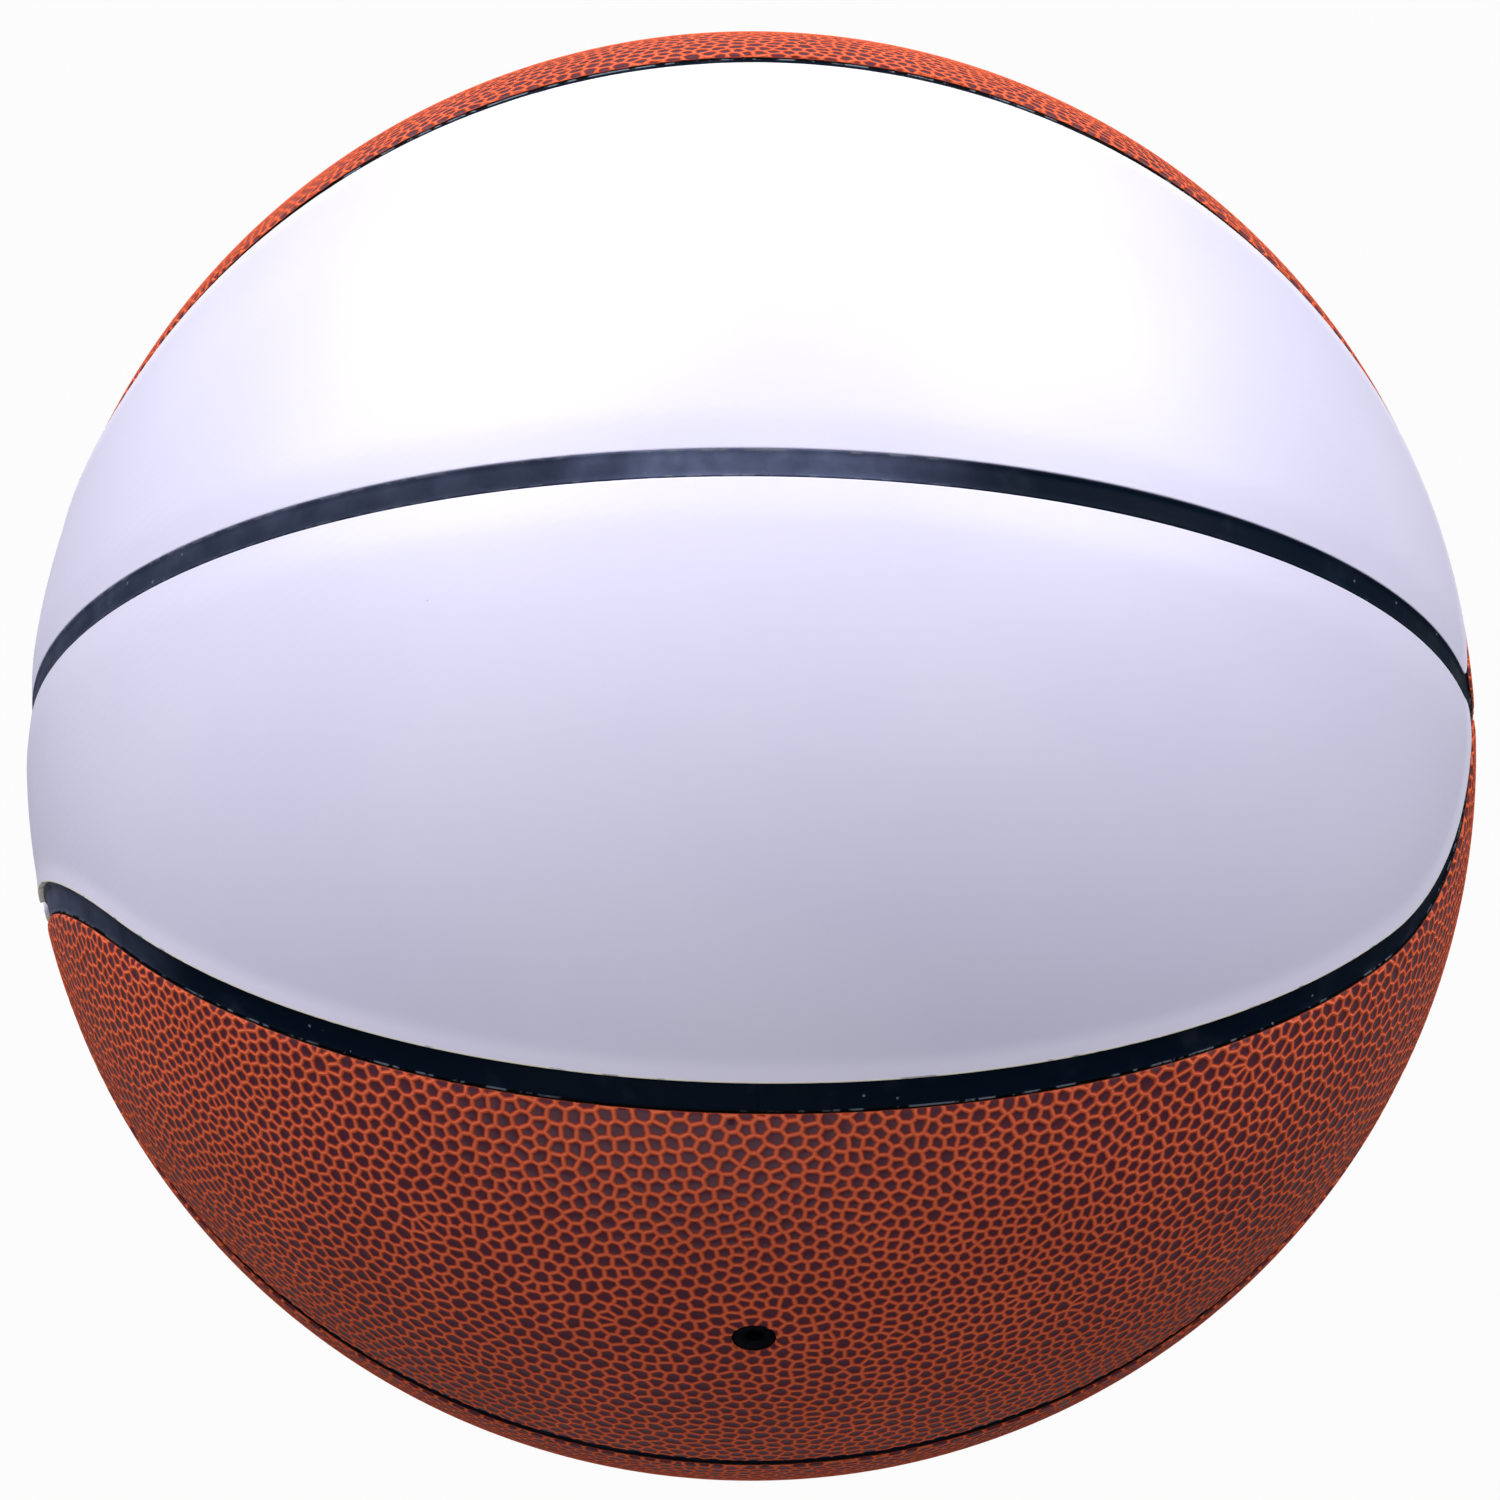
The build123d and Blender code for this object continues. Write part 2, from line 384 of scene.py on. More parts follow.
def pebbled_finish():
    """Orange ridges that darken down the walls as painted shade into dark dimples, with a painted shadow
    at the cut edge and a little dust.
    """
    finish, tree, shader = new_finish("pebbled_composite", 0.6, 0.03)
    shader.inputs["Coat IOR"].default_value = 1.25
    shader.inputs["Coat Roughness"].default_value = 0.3
    grain = use_group(tree, moulded_grain, {"Scale": 2600.0, "Blotch Scale": 45.0})
    depth = carried(tree, "dimple")
    ragged = calculate(tree, "MULTIPLY_ADD", grain.outputs["Height"], ragged_share)
    tree.links.new(depth, ragged.node.inputs[2])
    # The ramp runs from the ridge's own orange to the dimple's own maroon; the darker stops between them
    # are painted shade down the wall.
    paint = colour_ramp(
        tree,
        [
            (0.20, ridge_orange),
            (0.60, shoulder_shade_orange),
            (0.84, wall_shade_red),
            (1.0, dimple_maroon),
        ],
    )
    tree.links.new(ragged, paint.inputs["Fac"])
    blotch = map_range(tree, grain.outputs["Blotch"], 0.3, 0.7)
    shade = mix_colour(tree, blotch, (0.90, 0.88, 0.88), (1.0, 1.0, 1.0))
    tint = add_node(tree, "ShaderNodeMix", {"data_type": "RGBA", "blend_type": "MULTIPLY"})
    tint.inputs["Factor"].default_value = 1.0
    tree.links.new(paint.outputs["Color"], tint.inputs[6])
    tree.links.new(shade, tint.inputs[7])
    # Painted shadow: the cut edge of the pebbled panel is darkened to near black, where the gap beside it
    # lies in shade.
    at_gap = map_range(tree, carried(tree, "edge_inset"), *gap_shadow_line, 1.0, 0.0)
    edged = mix_colour(tree, at_gap, tint.outputs[2], gap_shadow_black)
    specks = use_group(
        tree, dust_specks, {"Scale": 110.0, "Size": 0.03, "Patches": 30.0, "Spread": 0.64}
    )
    painted = mix_colour(tree, specks.outputs["Specks"], edged, dust_pale)
    tree.links.new(painted, shader.inputs["Base Color"])
    gloss = map_range(tree, depth, 0.5, 0.95, 0.70, 0.50)
    tree.links.new(gloss, shader.inputs["Roughness"])
    tree.links.new(map_range(tree, depth, 0.7, 0.98, 0.12, 0.85), shader.inputs["Coat Weight"])
    relief = calculate(tree, "MULTIPLY_ADD", depth, wall_bump)
    tree.links.new(grain.outputs["Height"], relief.node.inputs[2])
    press_bump(tree, shader, relief, pebble_bump_depth)
    return finish


pebbled = pebbled_finish()
print("finish:", pebbled.name)

# %% White smooth finish
cover_white = (0.715, 0.695, 0.89)
cover_white_deep = (0.685, 0.667, 0.87)
# A painted highlight: lighter white near the curved channel, where the lip turns up to the light.
lip_highlight_white = (0.77, 0.745, 0.94)
edge_cream = (0.90, 0.86, 0.76)
nick_grey = (0.42, 0.40, 0.38)
speck_grey = (0.40, 0.42, 0.56)
line_slant = math.radians(70)
lip_highlight_fade = (1.5 * mm, 4.5 * mm)
cut_edge_line = (0.28 * mm, 0.42 * mm)
smooth_bump_depth = 0.006 * mm


def smooth_finish():
    """Lavender white with slanting lines, a painted highlight along the lip, a cream cut edge and a few
    specks.
    """
    finish, tree, shader = new_finish("smooth_composite", 0.42, 0.35)
    grain = use_group(tree, moulded_grain, {"Scale": 1400.0, "Blotch Scale": 18.0})
    place = tree.nodes.new("ShaderNodeTexCoord")
    turn = add_node(tree, "ShaderNodeMapping", values={"Rotation": (0.0, 0.0, line_slant)})
    lines = add_node(
        tree,
        "ShaderNodeTexWave",
        {"wave_type": "BANDS", "bands_direction": "X"},
        {"Scale": 190.0, "Distortion": 1.5, "Detail": 2.0, "Detail Scale": 0.6},
    )
    tree.links.new(place.outputs["Object"], turn.inputs["Vector"])
    tree.links.new(turn.outputs["Vector"], lines.inputs["Vector"])
    blotch = map_range(tree, grain.outputs["Blotch"], 0.35, 0.65)
    ground = mix_colour(tree, blotch, cover_white_deep, cover_white)
    inset = carried(tree, "curve_inset")
    # Painted highlight along the lip by the curved channel.
    lip_highlight = map_range(tree, inset, *lip_highlight_fade, 1.0, 0.0)
    lipped = mix_colour(tree, lip_highlight, ground, lip_highlight_white)
    nicked = map_range(tree, object_noise(tree, 240.0, 3.0), 0.58, 0.66)
    cut_edge = map_range(tree, inset, *cut_edge_line, 1.0, 0.0)
    edged = mix_colour(tree, cut_edge, lipped, mix_colour(tree, nicked, edge_cream, nick_grey))
    specks = use_group(
        tree, dust_specks, {"Scale": 60.0, "Size": 0.014, "Patches": 30.0, "Spread": 0.60}
    )
    painted = mix_colour(tree, specks.outputs["Specks"], edged, speck_grey)
    tree.links.new(painted, shader.inputs["Base Color"])
    relief = calculate(tree, "MULTIPLY_ADD", grain.outputs["Height"], 0.5)
    tree.links.new(lines.outputs["Fac"], relief.node.inputs[2])
    press_bump(tree, shader, relief, smooth_bump_depth)
    return finish


smooth = smooth_finish()
print("finish:", smooth.name)

# %% [markdown]
# ## Finish of the channels and the rubber pieces
# The channel is black rubber with a blue cast. Along the pebbled panels it ends in a dark gap,
# painted in as shadow, which pale wear fills in short dashes. A slate sheen is painted into the
# colour, a painted reflection of the lamps, on the upright channel near the top and towards the
# left, and at the left end of the curved one. The mesh carries the distance from the panel edges,
# so gap and wear follow the seam.

# %% Channel rubber
rubber_navy = (0.0012, 0.0050, 0.0130)
rubber_scuff = (0.010, 0.015, 0.028)
# Slate for the painted sheen, a painted reflection of the lamps on the rubber.
sheen_slate = (0.095, 0.112, 0.200)
worn_grey = (0.13, 0.15, 0.19)
gap_shadow = (-0.28 * mm, -0.20 * mm)
worn_edge = (-0.32 * mm, -0.24 * mm)
wear_height = (8.0 * mm, 20.0 * mm)
rubber_bump_depth = 0.03 * mm


def channel_finish():
    """Navy black rubber with a painted gap shadow, dashes of wear, a painted sheen, scuffs and dust."""
    finish, tree, shader = new_finish("channel_rubber_worn", 0.42, 0.02)
    grain = use_group(tree, moulded_grain, {"Scale": 900.0, "Blotch Scale": 120.0})
    scuffed = map_range(tree, grain.outputs["Blotch"], 0.52, 0.75)
    bare = mix_colour(tree, scuffed, rubber_navy, rubber_scuff)
    streaks = map_range(tree, object_noise(tree, 160.0, 4.0), 0.25, 0.75, 0.55, 1.15)
    # Painted sheen: a slate cast that stands in for the lamps' reflection, broken into streaks.
    painted_sheen = calculate(tree, "MULTIPLY", carried(tree, "painted_sheen"), streaks)
    ground = mix_colour(tree, painted_sheen, bare, sheen_slate)
    # Painted shadow in the gap along the pebbled panels.
    at_gap = map_range(tree, carried(tree, "pebble_side"), *gap_shadow)
    shaded = mix_colour(tree, at_gap, ground, gap_shadow_black)
    stretches = map_range(tree, object_noise(tree, 28.0, 2.0), 0.38, 0.52)
    upper = map_range(tree, object_height(tree), *wear_height)
    gap_wear = calculate(tree, "MULTIPLY", calculate(tree, "MULTIPLY", at_gap, stretches), upper)
    at_edge = map_range(tree, carried(tree, "rim"), *worn_edge)
    # Wear along the rim, only where the painted sheen lies.
    rim_wear = calculate(tree, "MULTIPLY", at_edge, carried(tree, "painted_sheen"))
    dashes = map_range(tree, object_noise(tree, 420.0, 3.0), 0.50, 0.58)
    worn = calculate(tree, "MULTIPLY", calculate(tree, "MAXIMUM", gap_wear, rim_wear), dashes)
    edged = mix_colour(tree, worn, shaded, worn_grey)
    specks = use_group(
        tree, dust_specks, {"Scale": 420.0, "Size": 0.10, "Patches": 40.0, "Spread": 0.58}
    )
    painted = mix_colour(tree, specks.outputs["Specks"], edged, worn_grey)
    tree.links.new(painted, shader.inputs["Base Color"])
    gloss = map_range(tree, grain.outputs["Blotch"], 0.3, 0.8, 0.36, 0.62)
    tree.links.new(gloss, shader.inputs["Roughness"])
    press_bump(tree, shader, grain.outputs["Height"], rubber_bump_depth)
    return finish


channel = channel_finish()
print("finish:", channel.name)

# %% Valve, bladder, cloth and thread
weave_depth = 0.15 * mm


def rubber_finish(name, dark, pale, grain_scale):
    """Plain moulded rubber with a soft bloom."""
    finish, tree, shader = new_finish(name, 0.5, 0.02)
    grain = use_group(tree, moulded_grain, {"Scale": grain_scale, "Blotch Scale": 200.0})
    bloom = map_range(tree, grain.outputs["Blotch"], 0.4, 0.75)
    tree.links.new(mix_colour(tree, bloom, dark, pale), shader.inputs["Base Color"])
    gloss = map_range(tree, grain.outputs["Blotch"], 0.3, 0.7, 0.40, 0.62)
    tree.links.new(gloss, shader.inputs["Roughness"])
    press_bump(tree, shader, grain.outputs["Height"], rubber_bump_depth)
    return finish


def woven_finish(name, dark, pale, scale):
    """Cloth or thread: two crossing sets of bands, with fuzz."""
    finish, tree, shader = new_finish(name, 0.85, 0.25)
    place = tree.nodes.new("ShaderNodeTexCoord")
    bands = []
    for direction in ("X", "Z"):
        band = add_node(
            tree,
            "ShaderNodeTexWave",
            {"wave_type": "BANDS", "bands_direction": direction},
            {"Scale": scale, "Distortion": 0.6, "Detail": 1.0},
        )
        tree.links.new(place.outputs["Object"], band.inputs["Vector"])
        bands.append(band.outputs["Fac"])
    weave = calculate(tree, "MAXIMUM", *bands)
    tree.links.new(mix_colour(tree, weave, dark, pale), shader.inputs["Base Color"])
    press_bump(tree, shader, weave, weave_depth)
    return finish


valve_rubber = rubber_finish("valve_rubber_matt", (0.0012, 0.0016, 0.003), (0.004, 0.005, 0.008), 1500.0)
bladder_rubber = rubber_finish("bladder_rubber_matt", (0.010, 0.010, 0.011), (0.030, 0.030, 0.032), 700.0)
backing_cloth = woven_finish("backing_cloth_woven", (0.42, 0.40, 0.35), (0.70, 0.67, 0.60), 400.0)
nylon_thread = woven_finish("nylon_thread_wound", (0.55, 0.53, 0.46), (0.80, 0.78, 0.72), 260.0)
print("finishes:", len(bpy.data.materials))

# %% [markdown]
# ## The pebble net
# The pebbles are a net of ridges round small cells, about 2.6 mm apart and mostly of five to
# seven sides. A lattice looks too even, and loose random points too wild. So the seeds start as
# an icosphere, are shaken, and are then settled a few times while the edges are turned to suit:
# each moves to the mean of the circle centres of the triangles round it, weighed by their area,
# which makes the cells alike in size. The Dual Mesh node makes one cell round each seed. Its
# corners are the middles of the triangles, and moving them most of the way to the circle centres
# makes the ridges straight, as they are on the ball.

# %% Scatter and settle the seeds
net_seed = 4
net_sphere = 4
net_cuts = 6
shaken_by = 1.5 * mm
settling_rounds = 6


def circle_centre(face):
    """Centre of the circle through the corners of a triangle."""
    first, second, third = (vert.co for vert in face.verts)
    one = second - first
    two = third - first
    normal = one.cross(two)
    lean = normal.cross(one) * two.length_squared + two.cross(normal) * one.length_squared
    return first + lean / (2 * normal.length_squared)


def settle(bm):
    """Draw every seed to the middle of the triangles round it, weighed by their area."""
    weights = {face: face.calc_area() for face in bm.faces}
    middles = {face: circle_centre(face) * weights[face] for face in bm.faces}
    places = []
    for vert in bm.verts:
        total = sum(weights[face] for face in vert.link_faces)
        places.append(sum((middles[face] for face in vert.link_faces), Vector()) / total)
    for vert, place in zip(bm.verts, places):
        vert.co = place * (ball_radius / place.length)


def seed_net():
    """Seeds of the pebbles, joined in triangles over the whole ball."""
    draw = random.Random(net_seed)
    bm = bmesh.new()
    bmesh.ops.create_icosphere(bm, subdivisions=net_sphere, radius=ball_radius)
    bmesh.ops.subdivide_edges(bm, edges=bm.edges[:], cuts=net_cuts, use_grid_fill=True)
    for vert in bm.verts:
        set_radius(vert, ball_radius)
        vert.co += Vector([draw.uniform(-shaken_by, shaken_by) for _ in range(3)])
        set_radius(vert, ball_radius)
    for _ in range(settling_rounds):
        bmesh.ops.beautify_fill(bm, faces=bm.faces[:], edges=bm.edges[:], method="ANGLE")
        settle(bm)
    bmesh.ops.beautify_fill(bm, faces=bm.faces[:], edges=bm.edges[:], method="ANGLE")
    return bm


# %% Make a cell round each seed
corner_share = 0.7
corner_reach = 0.5 * mm
shortest_ridge = 0.45 * mm


def cell_corner(face):
    """Where three cells meet: most of the way from a triangle's middle to its circle's centre."""
    middle = face.calc_center_median()
    lean = (circle_centre(face) - middle) * corner_share
    return middle + lean * min(corner_reach / max(lean.length, corner_reach), 1)


def draw_corners(cells, corners):
    """Move the corners of the cells, and join those that a ridge has no room between."""
    bm = bmesh.new()
    bm.from_mesh(cells)
    for vert, corner in zip(bm.verts, corners):
        vert.co = corner * (ball_radius / corner.length)
    bmesh.ops.remove_doubles(bm, verts=bm.verts[:], dist=shortest_ridge)
    bm.to_mesh(cells)
    bm.free()


def cells_of(bm):
    """The dual of a triangle mesh: one face for each vertex."""
    corners = [cell_corner(face) for face in bm.faces]
    mesh = bpy.data.meshes.new("seeds")
    bm.to_mesh(mesh)
    bm.free()
    seeds = bpy.data.objects.new("seeds", mesh)
    bpy.context.scene.collection.objects.link(seeds)
    group = bpy.data.node_groups.new("cells", "GeometryNodeTree")
    for way in ("INPUT", "OUTPUT"):
        group.interface.new_socket("Mesh", in_out=way, socket_type="NodeSocketGeometry")
    source = group.nodes.new("NodeGroupInput")
    dual = group.nodes.new("GeometryNodeDualMesh")
    result = group.nodes.new("NodeGroupOutput")
    group.links.new(source.outputs[0], dual.inputs[0])
    group.links.new(dual.outputs[0], result.inputs[0])
    seeds.modifiers.new("cells", "NODES").node_group = group
    graph = bpy.context.evaluated_depsgraph_get()
    cells = bpy.data.meshes.new_from_object(seeds.evaluated_get(graph))
    bpy.data.objects.remove(seeds)
    draw_corners(cells, corners)
    return cells


pebble_cells = cells_of(seed_net())
print("pebbles round the whole ball:", len(pebble_cells.polygons))

# %% [markdown]
# ## Pebbled panels
# Each cell is inset twice, which leaves a ridge round it and a steep wall down to its floor. The
# floor's long sides are halved and its corners drawn in, so the dimple is round. Then the panel
# is cut out, dimples and all, as the real sheet is, and its edge is rounded over. A coarse
# lining closes it underneath, and bridged loops make the thin wall.

# %% Cutting a panel out
valve_angle = math.radians(67.5)
valve_direction = Vector((0, -math.sin(valve_angle), math.cos(valve_angle)))
valve_hole_radius = 3.35 * mm
hole_edge_tightness = 3
edge_levels = [level * mm for level in (0.08, 0.25, 0.5, 0.9)]


def from_valve(point):
    """Distance from the axis of the valve."""
    along = max(point.dot(valve_direction), 0)
    return (point - valve_direction * along).length


def mark_insets(bm, layer, finish, quarter):
    """Give every vertex its distance inside the panel's edge, or the valve hole's."""
    for vert in bm.verts:
        vert[layer] = panel_inset(vert.co, finish, quarters[quarter], panel_gap)
    if (finish, quarter) == ("pebbled", "front_top"):
        for vert in bm.verts:
            hole_inset = hole_edge_tightness * (from_valve(vert.co) - valve_hole_radius)
            vert[layer] = min(vert[layer], hole_inset)


def keep_quarter(bm, finish, quarter, margin):
    """Delete the faces that lie well outside one panel."""
    side_y, side_z = quarters[quarter]
    outside = []
    for face in bm.faces:
        middle = face.calc_center_median()
        away = middle.y * side_y < 0 or middle.z * side_z < 0
        if away or panel_inset(middle, finish, quarters[quarter], panel_gap) < -margin:
            outside.append(face)
    bmesh.ops.delete(bm, geom=outside, context="FACES")


def edge_drop(inset, edge_round):
    """How far a rounded edge has fallen at a distance inside it."""
    short = max(edge_round - inset, 0)
    return edge_round - math.sqrt(max(edge_round**2 - short**2, 0))


def add_lining(bm, lining):
    """Turn the faces of a lining inwards and move them into the same mesh."""
    bmesh.ops.reverse_faces(lining, faces=lining.faces[:])
    mesh = bpy.data.meshes.new("lining")
    lining.to_mesh(mesh)
    lining.free()
    bm.from_mesh(mesh)
    bpy.data.meshes.remove(mesh)


def line_underneath(bm, finish, quarter):
    """Close a panel with a coarse inner face and a wall between the two outlines."""
    lining = bmesh.new()
    bmesh.ops.create_icosphere(lining, subdivisions=fine_sphere, radius=ball_radius)
    layer = lining.verts.layers.float.new("edge_inset")
    keep_quarter(lining, finish, quarter, sheet_margin)
    mark_insets(lining, layer, finish, quarter)
    cut_line(lining, layer, 0)
    keep_inside(lining, layer)
    for vert in lining.verts:
        set_radius(vert, cover_inner_radius)
    add_lining(bm, lining)
    rims = {"hole": [], "outline": []}
    for edge in bm.edges:
        if edge.is_boundary:
            at_hole = from_valve(edge.verts[0].co) < 2 * valve_hole_radius
            rims["hole" if at_hole else "outline"].append(edge)
    for rim in rims.values():
        if rim:
            bmesh.ops.bridge_loops(bm, edges=rim)
    bmesh.ops.recalc_face_normals(bm, faces=bm.faces[:])


# %% Pebbled covers
shoulder_width = 0.22 * mm
wall_width = 0.28 * mm
shoulder_drop = 0.02 * mm
wall_drop = 0.11 * mm
rim_width = 0.12 * mm
corner_draw = 0.20
long_side = 0.6 * mm
shoulder_mark = 0.5
floor_mark = 1.0
pebbled_edge_round = 0.7 * mm


def emboss(bm, dimple):
    """Inset each cell twice, for a ridge and a wall, and mark how low each line lies."""
    floors = bm.faces[:]
    for width, mark in ((shoulder_width, shoulder_mark), (wall_width, floor_mark)):
        bmesh.ops.inset_individual(bm, faces=floors, thickness=width, use_even_offset=True)
        for face in floors:
            for vert in face.verts:
                vert[dimple] = mark
    corners = [(vert, face.calc_center_median()) for face in floors for vert in face.verts]
    for edge in dict.fromkeys(edge for face in floors for edge in face.edges):
        if edge.calc_length() > long_side:
            bmesh.utils.edge_split(edge, edge.verts[0], 0.5)
    for vert, middle in corners:
        vert.co = vert.co.lerp(middle, corner_draw)


def dimple_drop(mark):
    """How far a dimple has fallen, from its mark: little on the ridge, then down the wall."""
    on_ridge = min(mark / shoulder_mark, 1)
    on_wall = max((mark - shoulder_mark) / (floor_mark - shoulder_mark), 0)
    return shoulder_drop * on_ridge + wall_drop * on_wall


def pebbled_cover(quarter):
    """One brown panel, cut from the pebble net."""
    bm = bmesh.new()
    bm.from_mesh(pebble_cells)
    dimple = bm.verts.layers.float.new("dimple")
    inset = bm.verts.layers.float.new("edge_inset")
    keep_quarter(bm, "pebbled", quarter, net_margin)
    emboss(bm, dimple)
    for vert in bm.verts:
        set_radius(vert, ball_radius)
    mark_insets(bm, inset, "pebbled", quarter)
    cut_line(bm, inset, 0)
    keep_inside(bm, inset)
    for level in edge_levels:
        cut_line(bm, inset, level)
    for vert in bm.verts:
        vert[dimple] *= min(vert[inset] / rim_width, 1)
        drop = edge_drop(vert[inset], pebbled_edge_round)
        set_radius(vert, ball_radius - drop - dimple_drop(vert[dimple]))
    line_underneath(bm, "pebbled", quarter)
    name = f"pebbled_cover_{quarter}"
    return add_piece(bm, f"{name}_embossed", "ball", pebbled, [name])


for quarter in quarters:
    pebbled_cover(quarter)

# %% [markdown]
# ## Smooth panels
# The white panels have no pebbles, so a plain sphere is cut. What makes them look real is how the
# sheet lies at its edges: it slopes down to the upright channel over the last 6 mm, where it was
# pressed into the mould, and turns up to a low lip along the curved one. Both slopes start softly
# and follow from the distance to the edge.

# %% Smooth covers
smooth_edge_round = 0.25 * mm
fall_slope = 0.10
fall_width = 5.8 * mm
fall_bend = 0.8 * mm
lip_slope = 0.10
lip_width = 3.0 * mm
lip_bend = 0.6 * mm
smooth_levels = [level * mm for level in (0.05, 0.14, 0.25, 0.33)]


def soft_slope(distance, width, bend):
    """Rise of a slope of one in one that starts softly at a distance from the edge."""
    return bend * math.log1p(math.exp((width - distance) / bend))


def curve_inset(point, sides):
    """Distance of a point on a white panel from the edge along the curved channel."""
    return -curve_offset(home_direction(point, sides)) - curved_channel_width / 2 - panel_gap


def sheet_height(point, sides):
    """How far the white sheet stands over the ball: down to one channel, up to the other."""
    from_upright = abs(point.y) - straight_channel_width / 2
    fall = fall_slope * soft_slope(from_upright, fall_width, fall_bend)
    return lip_slope * soft_slope(curve_inset(point, sides), lip_width, lip_bend) - fall


def smooth_cover(quarter):
    """One white panel, cut from a sphere."""
    bm = bmesh.new()
    bmesh.ops.create_icosphere(bm, subdivisions=fine_sphere, radius=ball_radius)
    inset = bm.verts.layers.float.new("edge_inset")
    from_curve = bm.verts.layers.float.new("curve_inset")
    keep_quarter(bm, "smooth", quarter, sheet_margin)
    bmesh.ops.subdivide_edges(bm, edges=bm.edges[:], cuts=1, use_grid_fill=True)
    for vert in bm.verts:
        set_radius(vert, ball_radius)
    mark_insets(bm, inset, "smooth", quarter)
    cut_line(bm, inset, 0)
    keep_inside(bm, inset)
    for level in smooth_levels:
        cut_line(bm, inset, level)
    for vert in bm.verts:
        vert[from_curve] = curve_inset(vert.co, quarters[quarter])
        drop = edge_drop(vert[inset], smooth_edge_round)
        set_radius(vert, ball_radius - drop + sheet_height(vert.co, quarters[quarter]))
    line_underneath(bm, "smooth", quarter)
    name = f"smooth_cover_{quarter}"
    return add_piece(bm, f"{name}_lipped", "ball", smooth, [name])


for quarter in quarters:
    smooth_cover(quarter)

# %% [markdown]
# ## Carcass and channels
# The carcass is one moulding. Its ribs fill the channels, a little hollow across and turned up
# at the panel edges, and the rest is sunk to carry the panels. The sphere is cut along the
# panel outlines, the pockets are extruded inwards, and the two halves of the mould leave a fine
# groove across every channel where X is zero.

# %% Carcass
stem_hole_radius = 4.5 * mm
hollow_depth = 0.10 * mm
turn_up = 0.22 * mm
turn_up_width = 0.8 * mm
groove_half_width = 0.22 * mm
groove_depth = 0.12 * mm
# Where the slate sheen, a painted reflection, lies on the channel.
sheen_reach = 26.0 * mm
sheen_fade = 8.0 * mm
sheen_end_start = 86.0 * mm
sheen_end_reach = 30.0 * mm
sheen_end_share = 0.75
sheen_top_share = 0.7
sheen_left_share = 0.24
sheen_left_rise = 0.12
sheen_level = 0.9
sheen_back_rise = 0.8
lining_sphere = 6
rib_levels = [-level * mm for level in (0.2, 0.45, 0.8, 1.3, 1.9)]


def rib_height(rim, along):
    """Height of a rib over its middle radius, from its edge distance and its place along X."""
    turned = max(1 + rim / turn_up_width, 0)
    groove = max(1 - abs(along) / groove_half_width, 0)
    return turn_up * turned**2 - hollow_depth * (1 - turned) - groove_depth * groove


def painted_sheen_share(point):
    """Share of painted sheen: on the upright channel, and at the left end of the curved one."""
    if point.z < 0 or point.y > straight_channel_width:
        return 0.0
    if point.y < -straight_channel_width:
        return sheen_end_share * min(max((-point.x - sheen_end_start) / sheen_end_reach, 0), 1)
    at_top = math.exp(-((point.x / sheen_reach) ** 4))
    on_left = sheen_left_share + sheen_left_rise * abs(point.x) / ball_radius
    on_left /= 1 + math.exp(point.x / sheen_fade)
    at_back = max(point.y / straight_channel_width, 0)
    return (sheen_top_share * at_top + on_left) * (sheen_level + sheen_back_rise * at_back)


def open_stem_hole(bm, stem):
    """Cut the round hole for the valve stem out of a sphere."""
    for vert in bm.verts:
        vert[stem] = from_valve(vert.co) - stem_hole_radius
    cut_line(bm, stem, 0)
    keep_inside(bm, stem)


def line_carcass(bm):
    """Give the carcass its plain inside, and the wall of the stem hole."""
    lining = bmesh.new()
    bmesh.ops.create_icosphere(lining, subdivisions=lining_sphere, radius=carcass_inner_radius)
    open_stem_hole(lining, lining.verts.layers.float.new("stem"))
    add_lining(bm, lining)
    bmesh.ops.bridge_loops(bm, edges=[edge for edge in bm.edges if edge.is_boundary])
    bmesh.ops.recalc_face_normals(bm, faces=bm.faces[:])


def carcass():
    """The rubber moulding: ribs, pockets, stem hole and a plain inside."""
    bm = bmesh.new()
    bmesh.ops.create_icosphere(bm, subdivisions=fine_sphere, radius=ball_radius)
    rim = bm.verts.layers.float.new("rim")
    pebble_side = bm.verts.layers.float.new("pebble_side")
    along = bm.verts.layers.float.new("along")
    stem = bm.verts.layers.float.new("stem")
    painted_sheen = bm.verts.layers.float.new("painted_sheen")
    for vert in bm.verts:
        sides = (math.copysign(1, vert.co.y), math.copysign(1, vert.co.z))
        vert[pebble_side] = panel_inset(vert.co, "pebbled", sides, 0)
        vert[rim] = max(vert[pebble_side], panel_inset(vert.co, "smooth", sides, 0))
        vert[along] = vert.co.x
    cut_line(bm, rim, 0)
    for level in rib_levels:
        cut_line(bm, rim, level)
    for level in (-groove_half_width, 0, groove_half_width):
        cut_line(bm, along, level)
    pockets = [face for face in bm.faces if sum(vert[rim] for vert in face.verts) > 0]
    sunk = bmesh.ops.extrude_face_region(bm, geom=pockets)
    floor_verts = {item for item in sunk["geom"] if isinstance(item, bmesh.types.BMVert)}
    bmesh.ops.delete(bm, geom=pockets, context="FACES")
    for vert in bm.verts:
        if vert in floor_verts:
            set_radius(vert, carcass_outer_radius)
        else:
            set_radius(vert, rib_radius + rib_height(vert[rim], vert[along]))
        # Each vertex carries its share of the painted sheen.
        vert[painted_sheen] = painted_sheen_share(vert.co)
    open_stem_hole(bm, stem)
    line_carcass(bm)
    return add_piece(bm, "carcass_moulding", "ball", channel, ["carcass"])


carcass()

# %% [markdown]
# ## Valve core
# The core is a turned rubber plug: a round head that fills the hole in the cover, a funnel and
# a needle bore, and a shank that runs down into the valve body. It is round everywhere, so one
# profile is spun about the valve's axis.

